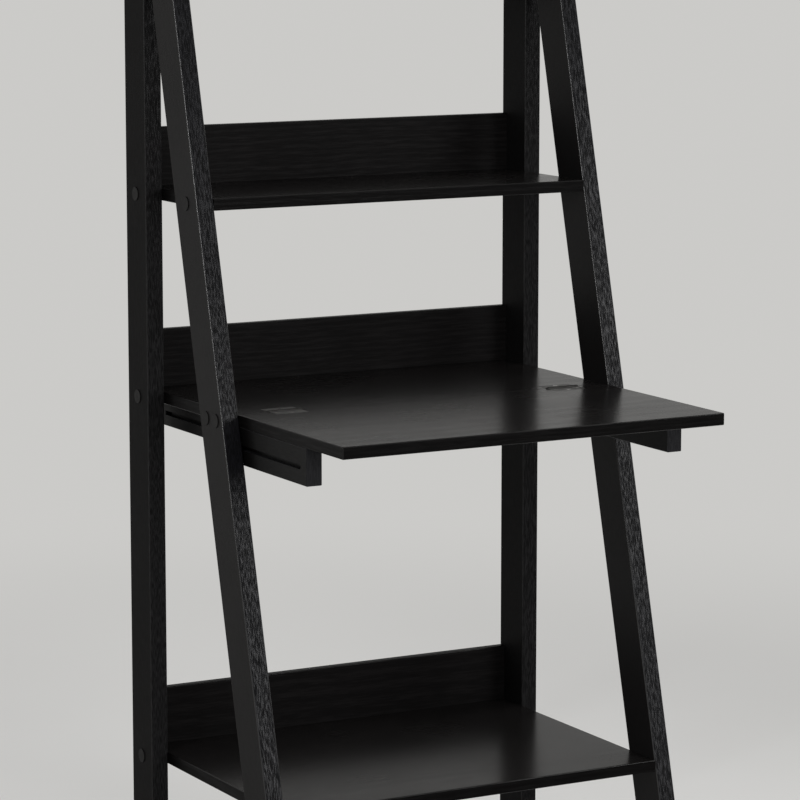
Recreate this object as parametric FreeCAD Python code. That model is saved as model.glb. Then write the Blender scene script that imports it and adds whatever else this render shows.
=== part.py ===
"""Ladder desk: two leaning side frames, four shelves, a fall flap and two pull-out support arms.

Millimetres. +X runs to the user's right, +Y to the back, +Z up. The origin is on the floor, midway
between the sides and midway between the back of the posts and the front of the lowered flap. The flap
is drawn lowered and both arms are drawn pulled out under it.
"""
import FreeCAD, Part
import math
import os

V = FreeCAD.Vector
X = V(1, 0, 0)
Y = V(0, 1, 0)
Z = V(0, 0, 1)

# Side frames
overall_height = 1680.0
frame_depth = 501.5
inner_width = 600.0
member_thickness = 26.5
post_depth = 66.5
leg_depth = 67.5
leg_tip = 7.0
member_edge_radius = 2.0

# Heights of the shelves' top faces: two above the floor, one below the frame's top, one between
lower_shelf_height = 228.0
desk_height = 760.0
top_shelf_drop = 334.0
upper_shelf_share = 0.5

# Boards and back panels
board_thickness = 17.0
board_edge_radius = 1.5
panel_height = 84.0
panel_thickness = 13.0

# Fall flap
seam_setback = 6.4
seam_gap = 1.0
flap_reach = 312.0
flap_side_gap = 1.0
flap_corner_radius = 3.0

# Support arms
arm_length = 300.0
arm_height = 52.0
arm_thickness = 23.5
arm_reach = 205.0
arm_side_gap = 2.4
arm_top_gap = 0.3
arm_edge_radius = 1.5
arm_travel = 200.0
arm_groove_width = 7.0
arm_groove_depth = 8.0
arm_groove_drop = 28.0
arm_groove_end = 16.0

# Guide rails beside the arms
rail_thickness = 16.0
rail_height = 41.0
rail_side_gap = 0.6
rail_front_setback = 8.0
rail_back_setback = 2.0
rail_edge_radius = 1.5
rail_groove_width = 6.6
rail_groove_depth = 7.0
rail_groove_drop = 22.0
rail_groove_end_room = 5.0

# Pegs of the sliding arms
stop_peg_diameter = 6.4
stop_peg_seat = 12.0
stop_peg_tip_gap = 1.2
guide_peg_diameter = 6.0
guide_peg_seat = 10.0
guide_peg_tip_gap = 0.8
guide_peg_end_distance = 14.0
guide_peg_spacing = 60.0
peg_chamfer = 0.6

# Bolts, barrel nuts and cover caps
bolt_diameter = 6.0
bolt_length = 46.0
bolt_head_diameter = 10.0
bolt_head_height = 4.0
head_bore_diameter = 11.4
head_bore_depth = 9.0
nut_diameter = 10.0
nut_length = 13.0
nut_depth = 26.0
cap_diameter = 20.0
cap_height = 1.4
cap_rounding = 0.5
cap_stem_length = 2.5
desk_bolt_spacing = 30.0
desk_bolt_shift = 0.5

# Dowels
dowel_diameter = 8.0
dowel_in_member = 12.0
dowel_in_shelf = 18.0
dowel_offset = 20.0
dowel_chamfer = 1.0

# Screws
panel_screw_diameter = 4.0
panel_screw_length = 40.0
panel_screw_inset = 80.0
rail_screw_diameter = 4.0
rail_screw_length = 35.0
rail_screw_head_depth = 18.0
rail_screw_inset = 50.0
frame_screw_diameter = 6.5
frame_screw_length = 65.0
frame_screw_head_depth = 25.0
frame_screw_shares = (0.25, 0.6)
screw_head_share = 2.0
screw_cone_share = 0.6

# Hinges of the flap
hinge_inset = 75.0
hinge_length = 50.0
leaf_width = 26.0
leaf_thickness = 1.6
knuckle_diameter = 4.6
knuckle_count = 5
knuckle_gap = 0.3
knuckle_clearance = 0.4
leaf_start = 0.8
leaf_corner_radius = 2.0
pin_diameter = 2.2
pin_fit = 0.05
pin_head_diameter = 3.6
pin_head_height = 1.2
pin_head_gap = 0.2
hinge_screw_diameter = 3.5
hinge_screw_length = 14.0
hinge_screw_head_diameter = 6.4
hinge_screw_spread = 17.0
hinge_screw_near = 10.0
hinge_screw_far = 19.0

# Foot glides
glide_diameter = 20.0
glide_height = 4.0
glide_chamfer = 0.8
glide_pin_diameter = 3.0
glide_pin_length = 15.0

# Fits shared by all fasteners, the overrun of cutting tools and the slack of a test for parallel edges
hole_clearance = 0.2
end_clearance = 0.5
overrun = 1.0
parallel_share = 0.01

# Places worked out from the sizes above
half_width = inner_width / 2
outer_x = half_width + member_thickness
member_mid_x = half_width + member_thickness / 2
lean_tangent = (frame_depth - post_depth - leg_tip) / overall_height
leg_run = leg_depth / math.cos(math.atan(lean_tangent))
fixed_depth = frame_depth - desk_height * lean_tangent - seam_setback
rear_y = (fixed_depth + flap_reach) / 2
seam_y = rear_y - fixed_depth
post_front_y = rear_y - post_depth
post_mid_y = rear_y - post_depth / 2
leg_meets_post_z = (frame_depth - post_depth - leg_run) / lean_tangent
top_shelf_height = overall_height - top_shelf_drop
upper_shelf_height = desk_height + (top_shelf_height - desk_height) * upper_shelf_share
desk_under_z = desk_height - board_thickness
hinge_centre = half_width - hinge_inset
hinge_axis_z = desk_height
leaf_under_z = desk_height - leaf_thickness
arm_outer_x = half_width - arm_side_gap
arm_inner_x = arm_outer_x - arm_thickness
arm_top_z = desk_under_z - arm_top_gap
arm_front_y = seam_y - arm_reach
arm_groove_z = arm_top_z - arm_groove_drop + arm_top_gap
stop_peg_y = arm_front_y + arm_groove_end + arm_travel + stop_peg_diameter / 2 + end_clearance
rail_outer_x = arm_inner_x - rail_side_gap
rail_inner_x = rail_outer_x - rail_thickness
rail_front_y = seam_y + rail_front_setback
rail_back_y = rear_y - rail_back_setback
rail_groove_z = desk_under_z - rail_groove_drop
shelf_heights = {
    "lower": lower_shelf_height,
    "desk": desk_height,
    "upper": upper_shelf_height,
    "top": top_shelf_height,
}


def leg_front_y(height):
    """Front face of the leaning legs at a height above the floor."""
    return rear_y - frame_depth + height * lean_tangent


def leg_mid_y(height):
    """Middle of the leaning legs at a height above the floor."""
    return leg_front_y(height) + leg_run / 2


def middle_of(shelf):
    """Height of the middle of a shelf's thickness."""
    return shelf_heights[shelf] - board_thickness / 2


def block(x_low, x_high, y_low, y_high, z_low, z_high):
    """A rectangular solid between two corners."""
    return Part.makeBox(x_high - x_low, y_high - y_low, z_high - z_low, V(x_low, y_low, z_low))


def rod(diameter, start, direction, length):
    """A round solid from a start point along a direction."""
    return Part.makeCylinder(diameter / 2, length, start, direction)


def edges_along(solid, direction, wanted):
    """Straight edges of a solid that run along a direction and whose middle is wanted."""
    found = []
    for edge in solid.Edges:
        if edge.Curve.TypeId != "Part::GeomLine":
            continue
        run = edge.Vertexes[1].Point.sub(edge.Vertexes[0].Point)
        slack = edge.Length * direction.Length * parallel_share
        if run.cross(direction).Length < slack and wanted(edge.CenterOfMass):
            found.append(edge)
    return found


def eased(solid, direction, radius, wanted=lambda middle: True):
    """The solid with its edges along a direction rounded."""
    return solid.makeFillet(radius, edges_along(solid, direction, wanted))


def chamfered_rod(diameter, start, direction, length, chamfer):
    """A round solid with both ends chamfered."""
    solid = rod(diameter, start, direction, length)
    return solid.makeChamfer(chamfer, [edge for edge in solid.Edges if edge.Closed])


def countersunk_screw(diameter, start, direction, length):
    """A plain screw whose conical head is flush with its start point."""
    head_diameter = diameter * screw_head_share
    head_height = diameter * screw_cone_share
    head = Part.makeCone(head_diameter / 2, diameter / 2, head_height, start, direction)
    return head.fuse(rod(diameter, start, direction, length)).removeSplitter()


def screw_hole(diameter, start, direction, length):
    """The cut that a countersunk screw of a size sits in."""
    return countersunk_screw(diameter + hole_clearance, start, direction, length + end_clearance)


def mirrored(solid):
    """The same solid on the other side of the middle plane."""
    return solid.mirror(V(0, 0, 0), X)


def bolt_places(members):
    """Places, as (y, z), of the bolts that join the posts or the legs to the shelf ends."""
    places = []
    for shelf in shelf_heights:
        height = middle_of(shelf)
        if members == "post":
            places.append((post_mid_y, height))
        elif shelf == "desk":
            middle = leg_mid_y(height) + desk_bolt_shift
            places.append((middle - desk_bolt_spacing / 2, height))
            places.append((middle + desk_bolt_spacing / 2, height))
        else:
            places.append((leg_mid_y(height), height))
    return places


def dowel_places(members):
    """Places, as (y, z), of the dowels that line the shelf ends up with the posts or the legs."""
    places = []
    for shelf in shelf_heights:
        height = middle_of(shelf)
        if members == "post":
            places.append((post_mid_y + dowel_offset, height))
        elif shelf == "desk":
            places.append((leg_mid_y(height) + desk_bolt_shift, height))
        else:
            places.append((leg_mid_y(height) - dowel_offset, height))
    return places


def all_places(place_list):
    """The places at the posts and at the legs together."""
    return place_list("post") + place_list("leg")


def drilled_member(solid, members):
    """A right-hand post or leg with its bolt holes, head bores and dowel holes."""
    for y, z in bolt_places(members):
        outside = V(outer_x, y, z)
        solid = solid.cut(rod(head_bore_diameter, outside, -X, head_bore_depth))
        solid = solid.cut(rod(bolt_diameter + hole_clearance, outside, -X, member_thickness))
    for y, z in dowel_places(members):
        depth = dowel_in_member + end_clearance
        solid = solid.cut(rod(dowel_diameter + hole_clearance, V(half_width, y, z), X, depth))
    return solid


def frame_screw_heights():
    """Heights of the screws that hold a leg's top to its post."""
    rise = overall_height - leg_meets_post_z
    return [leg_meets_post_z + share * rise for share in frame_screw_shares]


def frame_screw_start(height):
    """Where the head of a frame screw sits inside its bore in the post's back."""
    return V(member_mid_x, rear_y - frame_screw_head_depth, height)


def frame_screw_cut(height):
    """The head bore and the screw hole of one frame screw."""
    head_bore = frame_screw_diameter * screw_head_share + hole_clearance
    start = frame_screw_start(height)
    mouth = V(member_mid_x, rear_y, height)
    hole = screw_hole(frame_screw_diameter, start, -Y, frame_screw_length)
    return hole.fuse(rod(head_bore, mouth, -Y, frame_screw_head_depth))


def glide_cut(y):
    """The pin hole of a foot glide in the foot of a post or leg."""
    start = V(member_mid_x, y, glide_height)
    return rod(glide_pin_diameter + hole_clearance, start, Z, glide_pin_length + end_clearance)


def rear_post():
    """Right-hand upright post."""
    solid = block(half_width, outer_x, post_front_y, rear_y, glide_height, overall_height)
    solid = drilled_member(eased(solid, Z, member_edge_radius), "post")
    for height in frame_screw_heights():
        solid = solid.cut(frame_screw_cut(height))
    return solid.cut(glide_cut(post_mid_y))


def front_leg():
    """Right-hand leaning leg, cut level at the foot and plumb where it meets the post."""
    foot_front = V(half_width, leg_front_y(glide_height), glide_height)
    foot_back = foot_front + Y * leg_run
    meeting = V(half_width, post_front_y, leg_meets_post_z)
    top_back = V(half_width, post_front_y, overall_height)
    top_front = V(half_width, post_front_y - leg_tip, overall_height)
    outline = Part.makePolygon([foot_front, foot_back, meeting, top_back, top_front, foot_front])
    solid = Part.Face(outline).extrude(X * member_thickness)
    solid = eased(solid, top_front - foot_front, member_edge_radius)
    solid = drilled_member(solid, "leg")
    for height in frame_screw_heights():
        solid = solid.cut(frame_screw_cut(height))
    peg_hole = rod(stop_peg_diameter + hole_clearance, V(half_width, stop_peg_y, arm_groove_z), X,
                   stop_peg_seat + end_clearance)
    return solid.cut(peg_hole).cut(glide_cut(leg_mid_y(glide_height)))


def shelf_front_y(shelf):
    """Front edge of a shelf: the seam at the desk, the legs' front faces elsewhere."""
    if shelf == "desk":
        return seam_y + seam_gap / 2
    return leg_front_y(middle_of(shelf))


def panel_screw_places():
    """Places, as (x, y), of the screws that hold a back panel to its shelf."""
    y = rear_y - panel_thickness / 2
    end_x = half_width - panel_screw_inset
    return [(-end_x, y), (0, y), (end_x, y)]


def shelf_board(shelf):
    """A shelf with rounded front and end edges, bored for its bolts, nuts, dowels and screws."""
    top = shelf_heights[shelf]
    under = top - board_thickness
    front = shelf_front_y(shelf)
    solid = block(-half_width, half_width, front, rear_y, under, top)
    rounded = edges_along(solid, X, lambda middle: middle.y < front + overrun)
    rounded += edges_along(solid, Y, lambda middle: True)
    solid = solid.makeFillet(board_edge_radius, rounded)
    for y, z in all_places(bolt_places):
        if z != middle_of(shelf):
            continue
        bolt_depth = head_bore_depth + bolt_length - member_thickness + end_clearance
        for side in (-1, 1):
            end = V(side * half_width, y, z)
            solid = solid.cut(rod(bolt_diameter + hole_clearance, end, X * -side, bolt_depth))
            mouth = V(side * (half_width - nut_depth), y, under)
            bore_depth = (board_thickness + nut_length) / 2
            solid = solid.cut(rod(nut_diameter + hole_clearance, mouth, Z, bore_depth))
    for y, z in all_places(dowel_places):
        if z != middle_of(shelf):
            continue
        for side in (-1, 1):
            end = V(side * half_width, y, z)
            depth = dowel_in_shelf + end_clearance
            solid = solid.cut(rod(dowel_diameter + hole_clearance, end, X * -side, depth))
    for x, y in panel_screw_places():
        solid = solid.cut(screw_hole(panel_screw_diameter, V(x, y, under), Z, panel_screw_length))
    if shelf == "desk":
        for hole in rail_screw_holes() + hinge_cuts(1):
            solid = solid.cut(hole).cut(mirrored(hole))
    return solid


def back_panel(shelf):
    """The upstand along the back of a shelf."""
    base = shelf_heights[shelf]
    solid = block(-half_width, half_width, rear_y - panel_thickness, rear_y, base, base + panel_height)
    solid = eased(solid, X, board_edge_radius, lambda middle: middle.z > base + overrun)
    for x, y in panel_screw_places():
        start = V(x, y, base - board_thickness)
        solid = solid.cut(screw_hole(panel_screw_diameter, start, Z, panel_screw_length))
    return solid


def desk_flap():
    """The fall flap, level with the desk shelf."""
    half = half_width - flap_side_gap
    back = seam_y - seam_gap / 2
    front = seam_y - flap_reach
    solid = block(-half, half, front, back, desk_under_z, desk_height)
    at_front = lambda middle: middle.y < front + overrun
    solid = eased(solid, Z, flap_corner_radius, at_front)
    rim = []
    for edge in solid.Edges:
        level = abs(edge.BoundBox.ZLength) < overrun
        inside = edge.CenterOfMass.y < back - overrun
        if level and inside:
            rim.append(edge)
    solid = solid.makeFillet(board_edge_radius, rim)
    for hole in hinge_cuts(-1):
        solid = solid.cut(hole).cut(mirrored(hole))
    return solid


def guide_peg_places():
    """Distances along Y of an arm's two guide pegs."""
    back = arm_front_y + arm_length - guide_peg_end_distance
    return [back, back - guide_peg_spacing]


def support_arm():
    """Right-hand arm with a stopped groove on its outer face and peg holes on its inner face."""
    solid = block(arm_inner_x, arm_outer_x, arm_front_y, arm_front_y + arm_length,
                  arm_top_z - arm_height, arm_top_z)
    solid = eased(solid, Y, arm_edge_radius)
    groove_front = arm_front_y + arm_groove_end + arm_groove_width / 2
    groove_back = stop_peg_y
    floor_x = arm_outer_x - arm_groove_depth
    half_groove = arm_groove_width / 2
    groove = block(floor_x, arm_outer_x + overrun, groove_front, groove_back,
                   arm_groove_z - half_groove, arm_groove_z + half_groove)
    for y in (groove_front, groove_back):
        end = rod(arm_groove_width, V(floor_x, y, arm_groove_z), X, arm_groove_depth + overrun)
        groove = groove.fuse(end)
    solid = solid.cut(groove)
    for y in guide_peg_places():
        start = V(arm_inner_x, y, rail_groove_z)
        depth = guide_peg_seat + end_clearance
        solid = solid.cut(rod(guide_peg_diameter + hole_clearance, start, X, depth))
    return solid


def stop_peg():
    """Right-hand peg in the leg that runs in the arm's groove and stops it at both ends."""
    tip_x = arm_outer_x - arm_groove_depth + stop_peg_tip_gap
    length = half_width + stop_peg_seat - tip_x
    return chamfered_rod(stop_peg_diameter, V(tip_x, stop_peg_y, arm_groove_z), X, length, peg_chamfer)


def guide_pegs():
    """Right-hand arm's two pegs that hang in the guide rail's groove."""
    tip_x = rail_outer_x - rail_groove_depth + guide_peg_tip_gap
    length = arm_inner_x + guide_peg_seat - tip_x
    pegs = []
    for y in guide_peg_places():
        pegs.append(chamfered_rod(guide_peg_diameter, V(tip_x, y, rail_groove_z), X, length, peg_chamfer))
    return Part.makeCompound(pegs)


def rail_screw_starts():
    """Heads of the right-hand rail's screws, sunk in its underside."""
    x = rail_inner_x + (rail_thickness - rail_groove_depth) / 2
    z = desk_under_z - rail_height + rail_screw_head_depth
    return [V(x, y, z) for y in (rail_front_y + rail_screw_inset, rail_back_y - rail_screw_inset)]


def rail_screw_holes():
    """Cuts of the right-hand rail's screws, through the rail and into the shelf."""
    holes = []
    for start in rail_screw_starts():
        holes.append(screw_hole(rail_screw_diameter, start, Z, rail_screw_length))
    return holes


def arm_rail():
    """Right-hand guide rail under the desk shelf, with a groove for the arm's pegs that ends at the back."""
    under = desk_under_z - rail_height
    last_peg_y = max(guide_peg_places()) + arm_travel
    groove_back_y = last_peg_y + guide_peg_diameter / 2 + rail_groove_end_room
    solid = block(rail_inner_x, rail_outer_x, rail_front_y, rail_back_y, under, desk_under_z)
    solid = eased(solid, Y, rail_edge_radius, lambda middle: middle.z < under + overrun)
    half_groove = rail_groove_width / 2
    solid = solid.cut(block(rail_outer_x - rail_groove_depth, rail_outer_x + overrun,
                            rail_front_y - overrun, groove_back_y,
                            rail_groove_z - half_groove, rail_groove_z + half_groove))
    head_bore = rail_screw_diameter * screw_head_share + hole_clearance
    for start, hole in zip(rail_screw_starts(), rail_screw_holes()):
        mouth = V(start.x, start.y, under)
        solid = solid.cut(hole).cut(rod(head_bore, mouth, Z, rail_screw_head_depth))
    return solid


def frame_bolts():
    """Right-hand bolts with their round heads in the members' head bores."""
    bolts = []
    for y, z in all_places(bolt_places):
        seat = V(outer_x - head_bore_depth, y, z)
        head = rod(bolt_head_diameter, seat, X, bolt_head_height)
        bolts.append(head.fuse(rod(bolt_diameter, seat, -X, bolt_length)))
    return Part.makeCompound(bolts)


def barrel_nuts():
    """Cross dowel nuts in the shelves' right-hand ends."""
    nuts = []
    for y, z in all_places(bolt_places):
        start = V(half_width - nut_depth, y, z - nut_length / 2)
        cross_start = V(half_width - nut_depth - nut_diameter, y, z)
        cross_hole = rod(bolt_diameter + hole_clearance, cross_start, X, nut_diameter * 2)
        nuts.append(rod(nut_diameter, start, Z, nut_length).cut(cross_hole))
    return Part.makeCompound(nuts)


def bolt_caps():
    """Domed cover caps over the right-hand bolt heads."""
    caps = []
    for y, z in all_places(bolt_places):
        outside = V(outer_x, y, z)
        dome = rod(cap_diameter, outside, X, cap_height)
        rim = [edge for edge in dome.Edges if edge.Closed and edge.CenterOfMass.x > outer_x + cap_height / 2]
        dome = dome.makeFillet(cap_rounding, rim)
        stem = rod(head_bore_diameter - hole_clearance, outside, -X, cap_stem_length)
        caps.append(dome.fuse(stem))
    return Part.makeCompound(caps)


def dowels():
    """Wooden dowels in the right-hand joints."""
    pieces = []
    length = dowel_in_member + dowel_in_shelf
    for y, z in all_places(dowel_places):
        start = V(half_width - dowel_in_shelf, y, z)
        pieces.append(chamfered_rod(dowel_diameter, start, X, length, dowel_chamfer))
    return Part.makeCompound(pieces)


def panel_screws(shelf):
    """Screws up through a shelf into its back panel."""
    under = shelf_heights[shelf] - board_thickness
    return [countersunk_screw(panel_screw_diameter, V(x, y, under), Z, panel_screw_length)
            for x, y in panel_screw_places()]


def hinge_screw_places(side):
    """Places, as (x, y), of one right-hand leaf's screws; side is 1 on the shelf, -1 on the flap."""
    return [
        (hinge_centre - hinge_screw_spread, seam_y + side * hinge_screw_near),
        (hinge_centre, seam_y + side * hinge_screw_far),
        (hinge_centre + hinge_screw_spread, seam_y + side * hinge_screw_near),
    ]


def hinge_screw(place, clearance=0.0):
    """A hinge screw whose head is flush with the leaf's top face."""
    x, y = place
    start = V(x, y, desk_height)
    head = Part.makeCone((hinge_screw_head_diameter + clearance) / 2, (hinge_screw_diameter + clearance) / 2,
                         leaf_thickness, start, -Z)
    shank = rod(hinge_screw_diameter + clearance, start, -Z, hinge_screw_length + clearance)
    return head.fuse(shank).removeSplitter()


def hinge_screw_holes(side):
    """Cuts of one right-hand leaf's screws."""
    return [hinge_screw(place, hole_clearance) for place in hinge_screw_places(side)]


def leaf_plate(side, clearance=0.0):
    """One right-hand leaf's plate, flush with the desk; side is 1 on the shelf, -1 on the flap."""
    half = hinge_length / 2 + clearance
    limits = sorted((seam_y + side * leaf_start, seam_y + side * (leaf_width + clearance)))
    plate = block(hinge_centre - half, hinge_centre + half, limits[0], limits[1], leaf_under_z, desk_height)
    far = lambda middle: abs(middle.y - seam_y) > leaf_width - overrun
    return eased(plate, Z, leaf_corner_radius, far)


def hinge_cuts(side):
    """Right-hand pocket, knuckle channel and screw holes in the shelf (side 1) or the flap (side -1)."""
    half = hinge_length / 2 + pin_head_gap + pin_head_height + knuckle_clearance
    start = V(hinge_centre - half, seam_y, hinge_axis_z)
    channel = rod(knuckle_diameter + knuckle_clearance * 2, start, X, half * 2)
    return [leaf_plate(side, hole_clearance), channel] + hinge_screw_holes(side)


def knuckle_spans(odd):
    """Start and end along X of the odd or even knuckles of the right-hand hinge."""
    pitch = hinge_length / knuckle_count
    first = hinge_centre - hinge_length / 2
    spans = []
    for index in range(knuckle_count):
        start = first + index * pitch
        if (index % 2 == 1) == odd:
            spans.append((start + knuckle_gap / 2, start + pitch - knuckle_gap / 2))
    return spans


def hinge_leaf(side):
    """One right-hand leaf with its knuckles; side is 1 on the shelf, -1 on the flap."""
    moving = side < 0
    plate = leaf_plate(side)
    reach = knuckle_diameter / 2 + knuckle_clearance
    for start, end in knuckle_spans(not moving):
        gap = block(start - knuckle_gap, end + knuckle_gap, seam_y - reach, seam_y + reach,
                    leaf_under_z, desk_height)
        plate = plate.cut(gap)
    bore_start = V(hinge_centre - hinge_length / 2, seam_y, hinge_axis_z)
    bore = rod(pin_diameter + pin_fit * 2, bore_start, X, hinge_length)
    for start, end in knuckle_spans(moving):
        plate = plate.fuse(rod(knuckle_diameter, V(start, seam_y, hinge_axis_z), X, end - start))
    plate = plate.cut(bore).removeSplitter()
    for hole in hinge_screw_holes(side):
        plate = plate.cut(hole)
    return plate


def hinge_pin():
    """Right-hand hinge pin with a small head at each end."""
    half = hinge_length / 2 + pin_head_gap
    start = V(hinge_centre - half, seam_y, hinge_axis_z)
    end = V(hinge_centre + half, seam_y, hinge_axis_z)
    solid = rod(pin_diameter, start, X, half * 2)
    for place, direction in ((start, -X), (end, X)):
        solid = solid.fuse(rod(pin_head_diameter, place, direction, pin_head_height))
    return solid


def hinge_screws(side):
    """Screws of one right-hand leaf."""
    return [hinge_screw(place) for place in hinge_screw_places(side)]


def frame_screws():
    """Right-hand screws from the post's back into the leg's top."""
    return [countersunk_screw(frame_screw_diameter, frame_screw_start(height), -Y, frame_screw_length)
            for height in frame_screw_heights()]


def foot_glide(y):
    """A round glide with its pin, under the foot of a right-hand post or leg."""
    disc = rod(glide_diameter, V(member_mid_x, y, 0), Z, glide_height)
    sole = [edge for edge in disc.Edges if edge.Closed and edge.CenterOfMass.z < glide_height / 2]
    disc = disc.makeChamfer(glide_chamfer, sole)
    return disc.fuse(rod(glide_pin_diameter, V(member_mid_x, y, glide_height), Z, glide_pin_length))


def pair(name, solid):
    """A right-hand solid and its mirror image, under their two names."""
    return {name + "_right": solid, name + "_left": mirrored(solid)}


def both_sides(solids):
    """Right-hand solids and their mirror images as one group."""
    return Part.makeCompound(solids + [mirrored(solid) for solid in solids])


def make_parts():
    """Every piece of the desk by its name."""
    parts = {}
    parts.update(pair("rear_post", rear_post()))
    parts.update(pair("front_leg", front_leg()))
    for shelf in shelf_heights:
        parts[shelf + "_shelf"] = shelf_board(shelf)
        parts[shelf + "_back_panel"] = back_panel(shelf)
    parts["desk_flap"] = desk_flap()
    parts.update(pair("support_arm", support_arm()))
    parts.update(pair("arm_rail", arm_rail()))
    parts.update(pair("arm_stop_peg", stop_peg()))
    parts.update(pair("arm_guide_pegs", guide_pegs()))
    parts.update(pair("hinge_fixed_leaf", hinge_leaf(1)))
    parts.update(pair("hinge_moving_leaf", hinge_leaf(-1)))
    parts.update(pair("hinge_pin", hinge_pin()))
    parts["hinge_fixed_screws"] = both_sides(hinge_screws(1))
    parts["hinge_moving_screws"] = both_sides(hinge_screws(-1))
    parts.update(pair("frame_bolts", frame_bolts()))
    parts.update(pair("barrel_nuts", barrel_nuts()))
    parts.update(pair("bolt_caps", bolt_caps()))
    parts.update(pair("dowels", dowels()))
    screws = []
    for shelf in shelf_heights:
        screws.extend(panel_screws(shelf))
    parts["panel_screws"] = Part.makeCompound(screws)
    rail_screws = [countersunk_screw(rail_screw_diameter, start, Z, rail_screw_length)
                   for start in rail_screw_starts()]
    parts["rail_screws"] = both_sides(rail_screws)
    parts["frame_screws"] = both_sides(frame_screws())
    parts.update(pair("rear_foot_glide", foot_glide(post_mid_y)))
    parts.update(pair("front_foot_glide", foot_glide(leg_mid_y(glide_height))))
    return parts


def main():
    """Writes one file for each piece and prints what it holds."""
    os.makedirs("parts", exist_ok=True)
    for name, shape in make_parts().items():
        shape.exportStep("parts/" + name + ".step")
        print(name, len(shape.Solids), "solids, valid:", shape.isValid(), "volume:", round(shape.Volume, 1))


main()
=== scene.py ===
"""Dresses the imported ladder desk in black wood-grain foil, with plated hinges, screws and studio light.

Metres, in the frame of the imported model: +X to the user's right, +Y to the wall, +Z up, floor at zero.
"""
from __future__ import annotations

import logging
import math
import random
from dataclasses import dataclass, replace
from enum import Enum
from typing import Union

import bmesh
import bpy
from mathutils import Euler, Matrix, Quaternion, Vector

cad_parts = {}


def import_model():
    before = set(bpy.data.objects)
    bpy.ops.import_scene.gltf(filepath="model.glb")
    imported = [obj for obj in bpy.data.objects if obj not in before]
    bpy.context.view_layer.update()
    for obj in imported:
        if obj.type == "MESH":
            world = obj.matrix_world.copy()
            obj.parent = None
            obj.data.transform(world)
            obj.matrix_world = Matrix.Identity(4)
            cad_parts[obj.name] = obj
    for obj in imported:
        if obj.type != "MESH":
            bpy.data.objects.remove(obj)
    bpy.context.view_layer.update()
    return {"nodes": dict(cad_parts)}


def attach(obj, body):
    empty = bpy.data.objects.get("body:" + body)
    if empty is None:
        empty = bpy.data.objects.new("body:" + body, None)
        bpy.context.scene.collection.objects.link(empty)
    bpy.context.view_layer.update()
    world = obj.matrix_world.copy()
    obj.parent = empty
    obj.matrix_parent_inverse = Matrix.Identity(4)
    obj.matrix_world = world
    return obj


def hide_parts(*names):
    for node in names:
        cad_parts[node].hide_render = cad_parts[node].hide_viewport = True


LOG = logging.getLogger("ladder_desk")
Pair = tuple[float, float]
Triple = tuple[float, float, float]
Colour = Triple
Socket = bpy.types.NodeSocket
Feed = Union[Socket, float, tuple]
Feeds = dict[Union[str, int], Feed]

SIDES = ("left", "right")
ORIGIN: Triple = (0.0, 0.0, 0.0)
UNIT: Pair = (0.0, 1.0)
# Most values of the cloudy noise lie in this span, about this middle.
CLOUD_SPAN: Pair = (0.3, 0.7)
CLOUD_MIDDLE: Triple = (0.5, 0.5, 0.5)
# Distance from ring to ring in a wave texture of scale 1.
WAVE_LENGTH = math.tau / 20.0
# Vertices nearer than the first are one vertex, and heights nearer than the second are one level.
WELD_DISTANCE = 1e-6
LEVEL_DISTANCE = 1e-4
# Edges of a fastener that bend by more than this stay sharp.
SHARP_ANGLE = math.radians(30.0)
# Sides of a barrel nut, and of the cones that chamfer nuts and dowels.
BARREL_SIDES = 48


class Grain(Enum):
    """Which way the grain of a board runs."""

    SIDEWAYS = "along X"
    BACKWARDS = "along Y"
    UPRIGHT = "along Z"
    LEANING = "along the leaning legs"


class Face(Enum):
    """Which way two opposite faces of a board look."""

    SIDE = (1.0, 0.0, 0.0)
    BACK = (0.0, 1.0, 0.0)
    TOP = (0.0, 0.0, 1.0)


@dataclass(frozen=True)
class Lie:
    """How the grain lies on a board, and how it lies on the bands that close the board's ends."""

    turn: Euler
    wide: Face
    end_turn: Euler
    end: Face


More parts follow.
